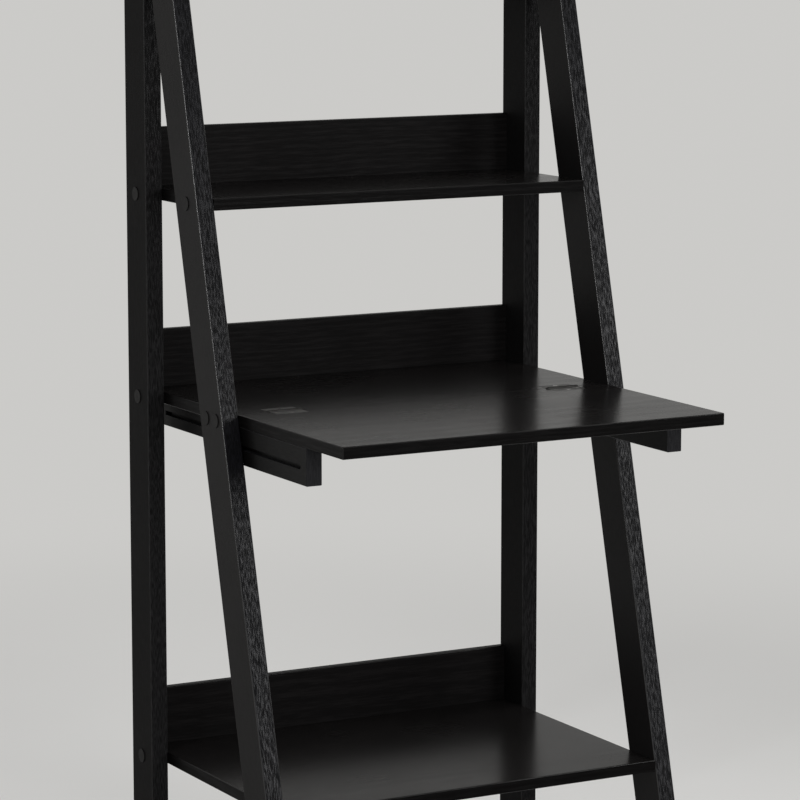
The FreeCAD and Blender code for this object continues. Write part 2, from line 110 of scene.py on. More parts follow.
class NodeSheet:
    """A node tree with short calls for the nodes that the finishes use."""

    def __init__(self, tree: bpy.types.NodeTree) -> None:
        """Starts on a shader or geometry tree and empties it."""
        self.tree = tree
        tree.nodes.clear()

    def feed(self, socket: Socket, value: Feed) -> None:
        """Links a socket to another one, or sets its own value.

        Args:
            socket: The input socket.
            value: An output socket to link, or a plain value.
        """
        if isinstance(value, Socket):
            self.tree.links.new(value, socket)
        else:
            socket.default_value = value

    def fill(self, node: bpy.types.Node, feeds: Feeds) -> None:
        """Feeds several inputs of a node, each by its name or its place."""
        for name, value in feeds.items():
            self.feed(node.inputs[name], value)

    def add(self, kind: str, feeds: Feeds | None = None, **settings: object) -> bpy.types.Node:
        """Adds a node.

        Args:
            kind: Blender's name of the node type.
            feeds: What goes into its inputs, by name or by place.
            settings: Values of the node's own properties.

        Returns:
            The new node.
        """
        node = self.tree.nodes.new(kind)
        for name, value in settings.items():
            setattr(node, name, value)
        self.fill(node, feeds or {})
        return node

    def math(self, operation: str, first: Feed, second: Feed = 0.0, third: Feed = 0.0) -> Socket:
        """One step of arithmetic on up to three numbers."""
        return self.add("ShaderNodeMath", {0: first, 1: second, 2: third}, operation=operation).outputs[0]

    def vector(self, operation: str, first: Feed, second: Feed = ORIGIN) -> Socket:
        """One step of vector arithmetic, with a number as the result of a dot product or a length."""
        node = self.add("ShaderNodeVectorMath", {0: first, 1: second}, operation=operation)
        return node.outputs["Value" if operation in ("DOT_PRODUCT", "LENGTH") else "Vector"]

    def remap(self, value: Feed, old: Pair, new: Pair = UNIT) -> Socket:
        """Smoothly maps a number from its old range to a new one."""
        feeds = {0: value, 1: old[0], 2: old[1], 3: new[0], 4: new[1]}
        return self.add("ShaderNodeMapRange", feeds, interpolation_type="SMOOTHSTEP").outputs[0]

    def blend(self, share: Feed, first: Feed, second: Feed) -> Socket:
        """A number between two numbers, by the share of the second."""
        return self.add("ShaderNodeMix", {0: share, 2: first, 3: second}, data_type="FLOAT").outputs[0]

    def route(self, share: Feed, first: Feed, second: Feed) -> Socket:
        """A place between two places, by the share of the second."""
        return self.add("ShaderNodeMix", {0: share, 4: first, 5: second}, data_type="VECTOR").outputs[1]

    def tint(self, share: Feed, first: Feed, second: Feed) -> Socket:
        """A colour between two colours, by the share of the second."""
        feeds = {0: share, 6: opaque(first), 7: opaque(second)}
        return self.add("ShaderNodeMix", feeds, data_type="RGBA").outputs[2]

    def noise(self, place: Feed, scale: float, detail: float = 2.0, colour: bool = False) -> Socket:
        """Cloudy noise from 0 to 1 with finer layers as detail, one number or, in colour, three."""
        node = self.add("ShaderNodeTexNoise", {"Vector": place, "Scale": scale, "Detail": detail})
        return node.outputs["Color" if colour else "Fac"]

    def turned(self, vector: Feed, turn: Euler) -> Socket:
        """A place or a direction, turned about the origin."""
        feeds = {"Vector": vector, "Rotation": tuple(turn)}
        return self.add("ShaderNodeMapping", feeds).outputs[0]

    def bump(self, height: Feed, depth: float, strength: float = 1.0) -> Socket:
        """Normals of an embossed face, from its height between 0 and 1 and its depth in metres."""
        feeds = {"Height": height, "Distance": depth, "Strength": strength}
        return self.add("ShaderNodeBump", feeds).outputs[0]


def opaque(colour: Feed) -> Feed:
    """A plain colour with full alpha; a socket stays as it is."""
    return (*colour, 1.0) if isinstance(colour, tuple) else colour


def new_material(name: str) -> tuple[bpy.types.Material, NodeSheet, bpy.types.Node]:
    """Makes a material with one Principled shader.

    Args:
        name: The material's name.

    Returns:
        The material, its sheet of nodes and the shader.
    """
    material = bpy.data.materials.new(name)
    material.use_nodes = True
    sheet = NodeSheet(material.node_tree)
    shader = sheet.add("ShaderNodeBsdfPrincipled")
    sheet.add("ShaderNodeOutputMaterial", {"Surface": shader.outputs[0]})
    return material, sheet, shader


@dataclass(frozen=True)
class WoodFoil:
    """Embossed black wood-grain foil over board.

    Wide faces are plain, narrow faces carry the deep grain, and eased edges are burnished. Widths and
    lengths are those of one streak, in metres. Relief is the depth of the embossing and warp is how far
    the grain sways, both in metres. A glint is the weight of the gloss on top of the foil's own shine.
    """

    name: str
    pore_colour: Colour
    ridge_colour: Colour
    wide_pore_colour: Colour
    wide_ridge_colour: Colour
    ring_spacing: float
    pore_width: float
    pore_length: float
    relief: float
    wide_relief_share: float
    roughness: Pair
    wide_roughness: Pair
    glint: float
    edge_glint: float
    shine: float
    wide_glint: float = 0.0
    glint_roughness: float = 0.22
    warp: float = 0.03
    sway_scale: Triple = (7.0, 7.0, 1.6)
    trunk_distance: float = 0.11
    ring_waver: float = 1.2
    ring_share: float = 0.14
    stroke: Pair = (0.48, 0.74)
    pore_detail: float = 2.5
    fibre_share: float = 0.25
    fibre_detail: float = 1.5
    fibre_stretch: Triple = (2.6, 2.6, 0.4)
    smudge_scale: float = 7.0
    smudge_detail: float = 3.0
    smudge_range: Pair = (-0.02, 0.02)
    edge_relief_share: float = 0.15
    flat_facing: Pair = (0.80, 0.97)
    edge_facing: Pair = (0.985, 0.90)

    def material(self, name: str, lie: Lie) -> bpy.types.Material:
        """Makes the foil for one board, with a figure of its own.

        Args:
            name: The board's name.
            lie: How the grain lies on the board.

        Returns:
            The material.
        """
        material, sheet, shader = new_material(f"{self.name}_{name}")
        draw = random.Random(name)
        shift = tuple(draw.uniform(-1.0, 1.0) for _ in range(3))
        seen = sheet.add("ShaderNodeTexCoord").outputs
        on_wide = self.facing(sheet, seen["Normal"], lie.wide)
        on_end = self.facing(sheet, seen["Normal"], lie.end)
        edge = self.edges(sheet, sheet.turned(seen["Normal"], lie.turn))
        along = sheet.turned(seen["Object"], lie.turn)
        banded = sheet.turned(seen["Object"], lie.end_turn)
        grain = sheet.vector("ADD", sheet.route(on_end, along, banded), shift)
        ridge = self.ridges(sheet, *self.figure(sheet, grain, shift))
        narrow_tone = sheet.tint(ridge, self.pore_colour, self.ridge_colour)
        wide_tone = sheet.tint(ridge, self.wide_pore_colour, self.wide_ridge_colour)
        glints = sheet.blend(on_wide, sheet.math("MULTIPLY", ridge, self.glint), self.wide_glint)
        bump = sheet.bump(self.height(sheet, ridge, on_wide, edge), self.relief)
        feeds = {
            "Base Color": sheet.tint(on_wide, narrow_tone, wide_tone),
            "Roughness": self.wear(sheet, seen["Object"], ridge, on_wide),
            "Specular IOR Level": self.shine,
            "Coat Weight": sheet.blend(edge, glints, self.edge_glint),
            "Coat Roughness": self.glint_roughness,
            "Normal": bump,
            "Coat Normal": bump,
        }
        sheet.fill(shader, feeds)
        return material

    def facing(self, sheet: NodeSheet, normal: Feed, face: Face) -> Socket:
        """1 on faces that look one way or its opposite, and 0 on the others."""
        across = sheet.math("ABSOLUTE", sheet.vector("DOT_PRODUCT", normal, face.value))
        return sheet.remap(across, self.flat_facing)

    def edges(self, sheet: NodeSheet, normal: Feed) -> Socket:
        """Finds the board's eased edges.

        Args:
            sheet: The material's nodes.
            normal: Which way each face looks, turned with the grain.

        Returns:
            1 along the edges and 0 on the flat faces.
        """
        split = sheet.add("ShaderNodeSeparateXYZ", {0: sheet.vector("ABSOLUTE", normal)}).outputs
        most = sheet.math("MAXIMUM", sheet.math("MAXIMUM", split[0], split[1]), split[2])
        return sheet.remap(most, self.edge_facing)

    def figure(self, sheet: NodeSheet, grain: Feed, shift: Triple) -> tuple[Socket, ...]:
        """The growth rings, the open pores and the fine fibres.

        Args:
            sheet: The material's nodes.
            grain: Places with the grain along Z.
            shift: The board's own place in the figure.

        Returns:
            Rings, pores and fibres, each from 0 to 1.
        """
        slow = sheet.vector("MULTIPLY", grain, self.sway_scale)
        sway = sheet.vector("SUBTRACT", sheet.noise(slow, 1.0, colour=True), CLOUD_MIDDLE)
        sway = sheet.vector("MULTIPLY", sway, (self.warp, self.warp, 0.0))
        bent = sheet.vector("ADD", grain, sway)
        heart = tuple(self.trunk_distance - part for part in shift[:2])
        feeds = {
            "Vector": sheet.vector("ADD", bent, (*heart, 0.0)),
            "Scale": WAVE_LENGTH / self.ring_spacing,
            "Distortion": self.ring_waver,
        }
        rings = sheet.add("ShaderNodeTexWave", feeds, wave_type="RINGS", rings_direction="Z")
        stretch = (1.0 / self.pore_width, 1.0 / self.pore_width, 1.0 / self.pore_length)
        pores = sheet.noise(sheet.vector("MULTIPLY", bent, stretch), 1.0, self.pore_detail)
        fine = tuple(step * factor for step, factor in zip(stretch, self.fibre_stretch))
        fibres = sheet.noise(sheet.vector("MULTIPLY", bent, fine), 1.0, self.fibre_detail)
        return rings.outputs["Fac"], pores, fibres

    def ridges(self, sheet: NodeSheet, rings: Feed, pores: Feed, fibres: Feed) -> Socket:
        """Joins the figure to one pattern of pores and ridges.

        Args:
            sheet: The material's nodes.
            rings: The growth rings.
            pores: The open pores.
            fibres: The fine fibres.

        Returns:
            The pattern, 0 in the pores and 1 on the ridges.
        """
        cut = sheet.math("MULTIPLY_ADD", rings, self.ring_share, pores)
        raised = sheet.remap(cut, self.stroke)
        soft = sheet.remap(fibres, CLOUD_SPAN)
        return sheet.blend(self.fibre_share, raised, sheet.math("MULTIPLY", raised, soft))

    def wear(self, sheet: NodeSheet, place: Feed, ridge: Feed, on_wide: Feed) -> Socket:
        """How rough the foil is: smoother on the ridges, and faintly smudged all over.

        Args:
            sheet: The material's nodes.
            place: Where the smudges are read.
            ridge: The pattern of pores and ridges.
            on_wide: 1 on the wide faces.

        Returns:
            The roughness.
        """
        clouds = sheet.noise(place, self.smudge_scale, self.smudge_detail)
        smudge = sheet.remap(clouds, CLOUD_SPAN, self.smudge_range)
        narrow = sheet.remap(ridge, UNIT, self.roughness[::-1])
        wide = sheet.remap(ridge, UNIT, self.wide_roughness[::-1])
        return sheet.math("ADD", sheet.blend(on_wide, narrow, wide), smudge)

    def height(self, sheet: NodeSheet, ridge: Feed, on_wide: Feed, edge: Feed) -> Socket:
        """Height of the embossing, low on the wide faces and worn down along the edges.

        Args:
            sheet: The material's nodes.
            ridge: The pattern of pores and ridges.
            on_wide: 1 on the wide faces.
            edge: 1 along the eased edges.

        Returns:
            The height, from 0 to 1.
        """
        depth = sheet.blend(on_wide, 1.0, self.wide_relief_share)
        depth = sheet.math("MULTIPLY", depth, sheet.blend(edge, 1.0, self.edge_relief_share))
        return sheet.math("MULTIPLY", ridge, depth)


@dataclass(frozen=True)
class PlatedSteel:
    """Plated steel with fine brushing and a cloudy tone, in strokes and clouds to a metre."""

    name: str
    colour: Colour
    dull_colour: Colour
    roughness: Pair
    brush: Triple = (400.0, 5000.0, 5000.0)
    cloud_scale: float = 900.0
    cloud_detail: float = 3.0
    cloud_share: float = 0.5
    relief: float = 0.00002
    relief_strength: float = 0.6

    def material(self) -> bpy.types.Material:
        """Makes the plated finish.

        Returns:
            The material.
        """
        material, sheet, shader = new_material(self.name)
        place = sheet.add("ShaderNodeTexCoord").outputs["Object"]
        brushed = sheet.noise(sheet.vector("MULTIPLY", place, self.brush), 1.0)
        clouds = sheet.noise(place, self.cloud_scale, self.cloud_detail)
        mixed = sheet.blend(self.cloud_share, brushed, clouds)
        feeds = {
            "Base Color": sheet.tint(clouds, self.dull_colour, self.colour),
            "Roughness": sheet.remap(mixed, CLOUD_SPAN, self.roughness),
            "Metallic": 1.0,
            "Normal": sheet.bump(brushed, self.relief, self.relief_strength),
        }
        sheet.fill(shader, feeds)
        return material


@dataclass(frozen=True)
class MouldedPlastic:
    """Moulded plastic with a fine stipple, in grains to a metre, and a cloudy tone over many grains."""

    name: str
    colour: Colour
    light_colour: Colour
    roughness: Pair
    stipple: float = 1600.0
    grains_in_cloud: float = 12.0
    relief: float = 0.00004
    relief_strength: float = 0.5
    shine: float = 0.15

    def material(self) -> bpy.types.Material:
        """Makes the moulded finish.

        Returns:
            The material.
        """
        material, sheet, shader = new_material(self.name)
        place = sheet.add("ShaderNodeTexCoord").outputs["Object"]
        grains = sheet.noise(place, self.stipple)
        clouds = sheet.noise(place, self.stipple / self.grains_in_cloud)
        feeds = {
            "Base Color": sheet.tint(clouds, self.colour, self.light_colour),
            "Roughness": sheet.remap(clouds, CLOUD_SPAN, self.roughness),
            "Specular IOR Level": self.shine,
            "Normal": sheet.bump(grains, self.relief, self.relief_strength),
        }
        sheet.fill(shader, feeds)
        return material


@dataclass(frozen=True)
class RawBeech:
    """Raw beech with fine dark flecks along X, in flecks to a metre."""

    name: str
    colour: Colour
    fleck_colour: Colour
    roughness: Pair = (0.55, 0.75)
    fleck: Triple = (250.0, 2200.0, 2200.0)
    fleck_detail: float = 3.0
    fleck_span: Pair = (0.50, 0.68)
    relief: float = 0.00003
    relief_strength: float = 0.6

    def material(self) -> bpy.types.Material:
        """Makes the raw wood.

        Returns:
            The material.
        """
        material, sheet, shader = new_material(self.name)
        place = sheet.add("ShaderNodeTexCoord").outputs["Object"]
        flecks = sheet.noise(sheet.vector("MULTIPLY", place, self.fleck), 1.0, self.fleck_detail)
        share = sheet.remap(flecks, self.fleck_span)
        feeds = {
            "Base Color": sheet.tint(share, self.colour, self.fleck_colour),
            "Roughness": sheet.remap(flecks, CLOUD_SPAN, self.roughness),
            "Normal": sheet.bump(flecks, self.relief, self.relief_strength),
        }
        sheet.fill(shader, feeds)
        return material


LEG_FOIL = WoodFoil(
    name="leg_foil",
    pore_colour=(0.0028, 0.0028, 0.0031),
    ridge_colour=(0.0072, 0.0072, 0.0087),
    wide_pore_colour=(0.0060, 0.0056, 0.0056),
    wide_ridge_colour=(0.0072, 0.0067, 0.0067),
    ring_spacing=0.009,
    pore_width=0.0010,
    pore_length=0.010,
    relief=0.00009,
    wide_relief_share=0.03,
    roughness=(0.35, 0.50),
    wide_roughness=(0.44, 0.48),
    glint=0.22,
    edge_glint=1.0,
    shine=0.044,
    warp=0.003,
    stroke=(0.38, 0.66),
    ring_share=0.02,
    pore_detail=0.6,
)
# Painted light and shade: this is the legs' foil again. The posts' narrow faces are painted lighter and
# their wide faces a little darker, for how the light falls on the posts.
POST_FOIL_PAINTED_LIGHT_AND_SHADE = replace(
    LEG_FOIL,
    name="post_foil",
    pore_colour=(0.0054, 0.0053, 0.0054),
    ridge_colour=(0.0125, 0.0122, 0.0126),
    wide_pore_colour=(0.0052, 0.0050, 0.0050),
    wide_ridge_colour=(0.0074, 0.0071, 0.0071),
    relief=0.0001,
    glint=0.06,
    edge_glint=0.35,
    shine=0.013,
)
# Painted light and shade: this is the legs' foil again. The narrow faces of the arms and rails, their
# front ends among them, are painted lighter, and their wide sides are painted darker, for the shade
# beside the legs and under the flap.
ARM_FOIL_PAINTED_LIGHT_AND_SHADE = replace(
    LEG_FOIL,
    name="arm_foil",
    pore_colour=(0.0100, 0.0100, 0.0110),
    ridge_colour=(0.0160, 0.0160, 0.0175),
    wide_pore_colour=(0.0022, 0.0021, 0.0021),
    wide_ridge_colour=(0.0030, 0.0028, 0.0028),
    relief=0.00008,
    glint=0.04,
    edge_glint=0.25,
)
# Painted light: the wide faces of the shelves and the flap, tops and undersides, are painted lighter than
# the same foil on the back panels. This stands in for light from above.
BOARD_FOIL_PAINTED_TOP_LIGHT = WoodFoil(
    name="board_foil",
    pore_colour=(0.0020, 0.0018, 0.0018),
    ridge_colour=(0.0038, 0.0035, 0.0035),
    wide_pore_colour=(0.0060, 0.0054, 0.0053),
    wide_ridge_colour=(0.0130, 0.0120, 0.0118),
    ring_spacing=0.008,
    pore_width=0.0012,
    pore_length=0.040,
    relief=0.00005,
    wide_relief_share=0.20,
    roughness=(0.36, 0.44),
    wide_roughness=(0.20, 0.26),
    glint=0.02,
    edge_glint=0.40,
    wide_glint=0.15,
    shine=0.026,
)
PANEL_FOIL = replace(
    BOARD_FOIL_PAINTED_TOP_LIGHT,
    name="panel_foil",
    wide_pore_colour=(0.0043, 0.0040, 0.0040),
    wide_ridge_colour=(0.0080, 0.0074, 0.0074),
    wide_roughness=(0.40, 0.48),
    wide_glint=0.0,
    shine=0.028,
)
HINGE_NICKEL = PlatedSteel(
    name="hinge_nickel",
    colour=(0.045, 0.044, 0.043),
    dull_colour=(0.024, 0.023, 0.022),
    roughness=(0.40, 0.52),
)
HINGE_SCREW_NICKEL = PlatedSteel(
    name="hinge_screw_nickel",
    colour=(0.42, 0.41, 0.40),
    dull_colour=(0.30, 0.295, 0.285),
    roughness=(0.18, 0.30),
)
SCREW_ZINC = PlatedSteel(
    name="screw_zinc",
    colour=(0.66, 0.66, 0.64),
    dull_colour=(0.48, 0.48, 0.47),
    roughness=(0.26, 0.42),
)
CAP_PLASTIC = MouldedPlastic(
    name="cap_plastic",
    colour=(0.0050, 0.0047, 0.0047),
    light_colour=(0.0070, 0.0066, 0.0066),
    roughness=(0.42, 0.50),
    shine=0.05,
)
GLIDE_PLASTIC = MouldedPlastic(
    name="glide_plastic",
    colour=(0.012, 0.012, 0.012),
    light_colour=(0.017, 0.017, 0.017),
    roughness=(0.42, 0.55),
)
PEG_NYLON = MouldedPlastic(
    name="peg_nylon",
    colour=(0.014, 0.014, 0.015),
    light_colour=(0.020, 0.020, 0.021),
    roughness=(0.30, 0.40),
)
BEECH = RawBeech(name="beech", colour=(0.56, 0.40, 0.25), fleck_colour=(0.36, 0.23, 0.13))


def dress(node: bpy.types.Object, material: bpy.types.Material) -> None:
    """Gives a CAD node one material.

    Args:
        node: The node's object.
        material: Its finish.
    """
    node.data.materials.clear()
    node.data.materials.append(material)
    LOG.info("dressed %s in %s", node.name, material.name)


def solid_boxes(node: bpy.types.Object) -> list[tuple[Vector, Vector]]:
    """Boxes of the separate solids in a CAD node.

    Args:
        node: The node's object.

    Returns:
        Lowest and highest corner of each solid, in the mesh's own order.
    """
    work = bmesh.new()
    work.from_mesh(node.data)
    bmesh.ops.remove_doubles(work, verts=work.verts, dist=WELD_DISTANCE)
    boxes = []
    left = set(work.verts)
    for seed in list(work.verts):
        if seed not in left:
            continue
        left.discard(seed)
        queue = [seed]
        low = seed.co.copy()
        high = seed.co.copy()
        while queue:
            vertex = queue.pop()
            low = Vector(map(min, low, vertex.co))
            high = Vector(map(max, high, vertex.co))
            for edge in vertex.link_edges:
                other = edge.other_vert(vertex)
                if other in left:
                    left.discard(other)
                    queue.append(other)
        boxes.append((low, high))
    work.free()
    return boxes


@dataclass(frozen=True)
class Softbox:
    """A rectangular soft light.

    The roll turns it about the way it looks. The spread is the angle over which its light fans out,
    and a grid narrows it. A light without glints fills the shade and isn't mirrored in the satin faces.
    """

    name: str
    place: Triple
    width: float
    height: float
    watts: float
    roll: float = 0.0
    spread: float = math.pi
    glints: bool = True

    def build(self, aim: Vector) -> None:
        """Makes the light and turns it to the desk.

        Args:
            aim: The point that it looks at.
        """
        lamp = bpy.data.lights.new(self.name, "AREA")
        lamp.shape = "RECTANGLE"
        lamp.size = self.width
        lamp.size_y = self.height
        lamp.energy = self.watts
        lamp.spread = self.spread
        light = bpy.data.objects.new(self.name, lamp)
        light.location = self.place
        facing = (aim - Vector(self.place)).to_track_quat("-Z", "Y")
        light.rotation_euler = (facing @ Quaternion((0.0, 0.0, 1.0), self.roll)).to_euler()
        light.visible_camera = False
        light.visible_glossy = self.glints
        bpy.context.scene.collection.objects.link(light)


GRID = math.radians(45.0)
KEY_ROLL = math.radians(46.0)
SOFTBOXES = (
    Softbox("key_softbox", (2.16, -3.60, 1.72), width=2.2, height=0.9, watts=62.0, roll=KEY_ROLL),
    Softbox("left_softbox", (-2.1, 1.5, 0.9), width=1.3, height=1.6, watts=12.0),
    Softbox("front_softbox", (-0.7, -4.4, 2.0), width=2.4, height=1.8, watts=80.0, glints=False),
    Softbox("edge_strip", (-3.2, -1.6, 1.95), width=0.25, height=1.2, watts=30.0),
    Softbox("rear_fill", (0.9, 3.2, 0.9), width=0.8, height=1.2, watts=13.0, spread=GRID, glints=False),
    Softbox("right_fill", (3.2, 0.3, 0.9), width=1.0, height=1.2, watts=9.0, spread=GRID, glints=False),
)


@dataclass
class Studio:
    """Floor, soft lights and the camera at the photograph's place.

    Near the desk the floor has its own tone and the desk's shadow. From clear_from to clear_to, in metres
    from the desk, it turns into the background.
    """

    pale: Colour = (0.60, 0.595, 0.58)
    floor_size: float = 120.0
    floor_dark: Colour = (0.83, 0.825, 0.81)
    floor_light: Colour = (0.88, 0.875, 0.86)
    floor_roughness: float = 0.8
    mottle_scale: float = 3.0
    mottle_detail: float = 3.0
    clear_from: float = 0.9
    clear_to: float = 3.2
    near_glow: float = 0.5
    fill: float = 0.30
    camera_place: Triple = (-2.40275, -4.30054, 1.51780)
    heading: float = 0.501384
    pitch: float = -0.152854
    lens: float = 158.134
    sensor_width: float = 36.0
    far_clip: float = 200.0
    aim: Triple = (0.0, 0.0, 0.80)

    def build(self) -> None:
        """Makes the whole studio."""
        self.floor()
        self.world()
        for softbox in SOFTBOXES:
            softbox.build(Vector(self.aim))
        self.camera()

    @staticmethod
    def shown(sheet: NodeSheet) -> Socket:
        """Finds the rays that show the background: camera, glossy and transmission rays.

        Args:
            sheet: The nodes of the floor or the world.

        Returns:
            1 for those rays and 0 for the others.
        """
        path = sheet.add("ShaderNodeLightPath").outputs
        most = sheet.math("MAXIMUM", path["Is Camera Ray"], path["Is Glossy Ray"])
        return sheet.math("MAXIMUM", most, path["Is Transmission Ray"])

    def floor(self) -> None:
        """A pale floor that keeps the desk's shadow and runs out into the background."""
        half = self.floor_size / 2
        mesh = bpy.data.meshes.new("floor")
        corners = [(-half, -half, 0.0), (half, -half, 0.0), (half, half, 0.0), (-half, half, 0.0)]
        mesh.from_pydata(corners, [], [(0, 1, 2, 3)])
        floor = bpy.data.objects.new("floor", mesh)
        bpy.context.scene.collection.objects.link(floor)
        material, sheet, shader = new_material("floor_pale")
        place = sheet.add("ShaderNodeTexCoord").outputs["Object"]
        reach = (self.clear_from, self.clear_to)
        far = sheet.remap(sheet.vector("LENGTH", place), reach, (self.near_glow, 1.0))
        mottle = sheet.noise(place, self.mottle_scale, self.mottle_detail)
        tone = sheet.tint(mottle, self.floor_dark, self.floor_light)
        sheet.fill(shader, {"Base Color": tone, "Roughness": self.floor_roughness})
        glow = sheet.add("ShaderNodeEmission", {"Color": opaque(self.pale), "Strength": 1.0})
        share = sheet.math("MULTIPLY", far, self.shown(sheet))
        mixed = sheet.add("ShaderNodeMixShader", {0: share, 1: shader.outputs[0], 2: glow.outputs[0]})
        output = next(node for node in sheet.tree.nodes if node.type == "OUTPUT_MATERIAL")
        sheet.feed(output.inputs["Surface"], mixed.outputs[0])
        mesh.materials.append(material)

    def world(self) -> None:
        """Even fill light, with the pale background for rays that show it."""
        world = bpy.data.worlds.new("studio")
        world.use_nodes = True
        bpy.context.scene.world = world
        sheet = NodeSheet(world.node_tree)
        fill = sheet.add("ShaderNodeBackground", {"Color": (1.0, 1.0, 1.0, 1.0), "Strength": self.fill})
        backdrop = sheet.add("ShaderNodeBackground", {"Color": opaque(self.pale), "Strength": 1.0})
        feeds = {0: self.shown(sheet), 1: fill.outputs[0], 2: backdrop.outputs[0]}
        mixed = sheet.add("ShaderNodeMixShader", feeds)
        sheet.add("ShaderNodeOutputWorld", {"Surface": mixed.outputs[0]})

    def camera(self) -> None:
        """The camera, turned towards the desk from its front left."""
        data = bpy.data.cameras.new("photo_camera")
        data.lens = self.lens
        data.sensor_width = self.sensor_width
        data.clip_end = self.far_clip
        camera = bpy.data.objects.new("photo_camera", data)
        camera.location = self.camera_place
        camera.rotation_euler = (math.pi / 2 + self.pitch, 0.0, -self.heading)
        bpy.context.scene.collection.objects.link(camera)
        bpy.context.scene.camera = camera


@dataclass
class Desk:
    """All wooden boards of the desk, with the grain along each."""

    nodes: dict[str, bpy.types.Object]

    def lean(self) -> float:
        """Reads the lean of the legs from a leg's front edge.

        Returns:
            Their angle from the vertical.
        """
        points = [vertex.co for vertex in self.nodes["front_leg_right"].data.vertices]
        top = max(point.z for point in points)
        foot = min(point.z for point in points)
        top_y = min(point.y for point in points if point.z > top - LEVEL_DISTANCE)
        foot_y = min(point.y for point in points if point.z < foot + LEVEL_DISTANCE)
        return math.atan2(top_y - foot_y, top - foot)

    def turn(self, grain: Grain) -> Euler:
        """The turn that brings a board's grain to the vertical.

        Args:
            grain: Which way the grain runs.

        Returns:
            The turn.
        """
        turns = {
            Grain.SIDEWAYS: Euler((0.0, -math.pi / 2, 0.0)),
            Grain.BACKWARDS: Euler((math.pi / 2, 0.0, 0.0)),
            Grain.UPRIGHT: Euler((0.0, 0.0, 0.0)),
            Grain.LEANING: Euler((self.lean(), 0.0, 0.0)),
        }
        return turns[grain]

    def lie(self, grain: Grain, wide: Face, end_grain: Grain, end: Face) -> Lie:
        """How the grain runs on a board with such wide faces, and on the bands of its ends."""
        return Lie(self.turn(grain), wide, self.turn(end_grain), end)

    def build(self) -> None:
        """Dresses every board."""
        upright = self.lie(Grain.UPRIGHT, Face.SIDE, Grain.BACKWARDS, Face.TOP)
        leaning = self.lie(Grain.LEANING, Face.SIDE, Grain.BACKWARDS, Face.TOP)
        backwards = self.lie(Grain.BACKWARDS, Face.SIDE, Grain.UPRIGHT, Face.BACK)
        shelf = self.lie(Grain.SIDEWAYS, Face.TOP, Grain.BACKWARDS, Face.SIDE)
        panel = self.lie(Grain.SIDEWAYS, Face.BACK, Grain.UPRIGHT, Face.SIDE)
        boards = {}
        for side in SIDES:
            boards[f"rear_post_{side}"] = (POST_FOIL_PAINTED_LIGHT_AND_SHADE, upright)
            boards[f"front_leg_{side}"] = (LEG_FOIL, leaning)
            boards[f"support_arm_{side}"] = (ARM_FOIL_PAINTED_LIGHT_AND_SHADE, backwards)
            boards[f"arm_rail_{side}"] = (ARM_FOIL_PAINTED_LIGHT_AND_SHADE, backwards)
        for level in ("lower", "desk", "upper", "top"):
            boards[f"{level}_shelf"] = (BOARD_FOIL_PAINTED_TOP_LIGHT, shelf)
            boards[f"{level}_back_panel"] = (PANEL_FOIL, panel)
        boards["desk_flap"] = (BOARD_FOIL_PAINTED_TOP_LIGHT, shelf)
        for name, (foil, lie) in boards.items():
            dress(self.nodes[name], foil.material(name, lie))


class Aim(Enum):
    """Which way a fastener points into the wood."""

    UP = (0.0, 0.0, 1.0)
    DOWN = (0.0, 0.0, -1.0)
    FORWARD = (0.0, -1.0, 0.0)
    ACROSS = (1.0, 0.0, 0.0)


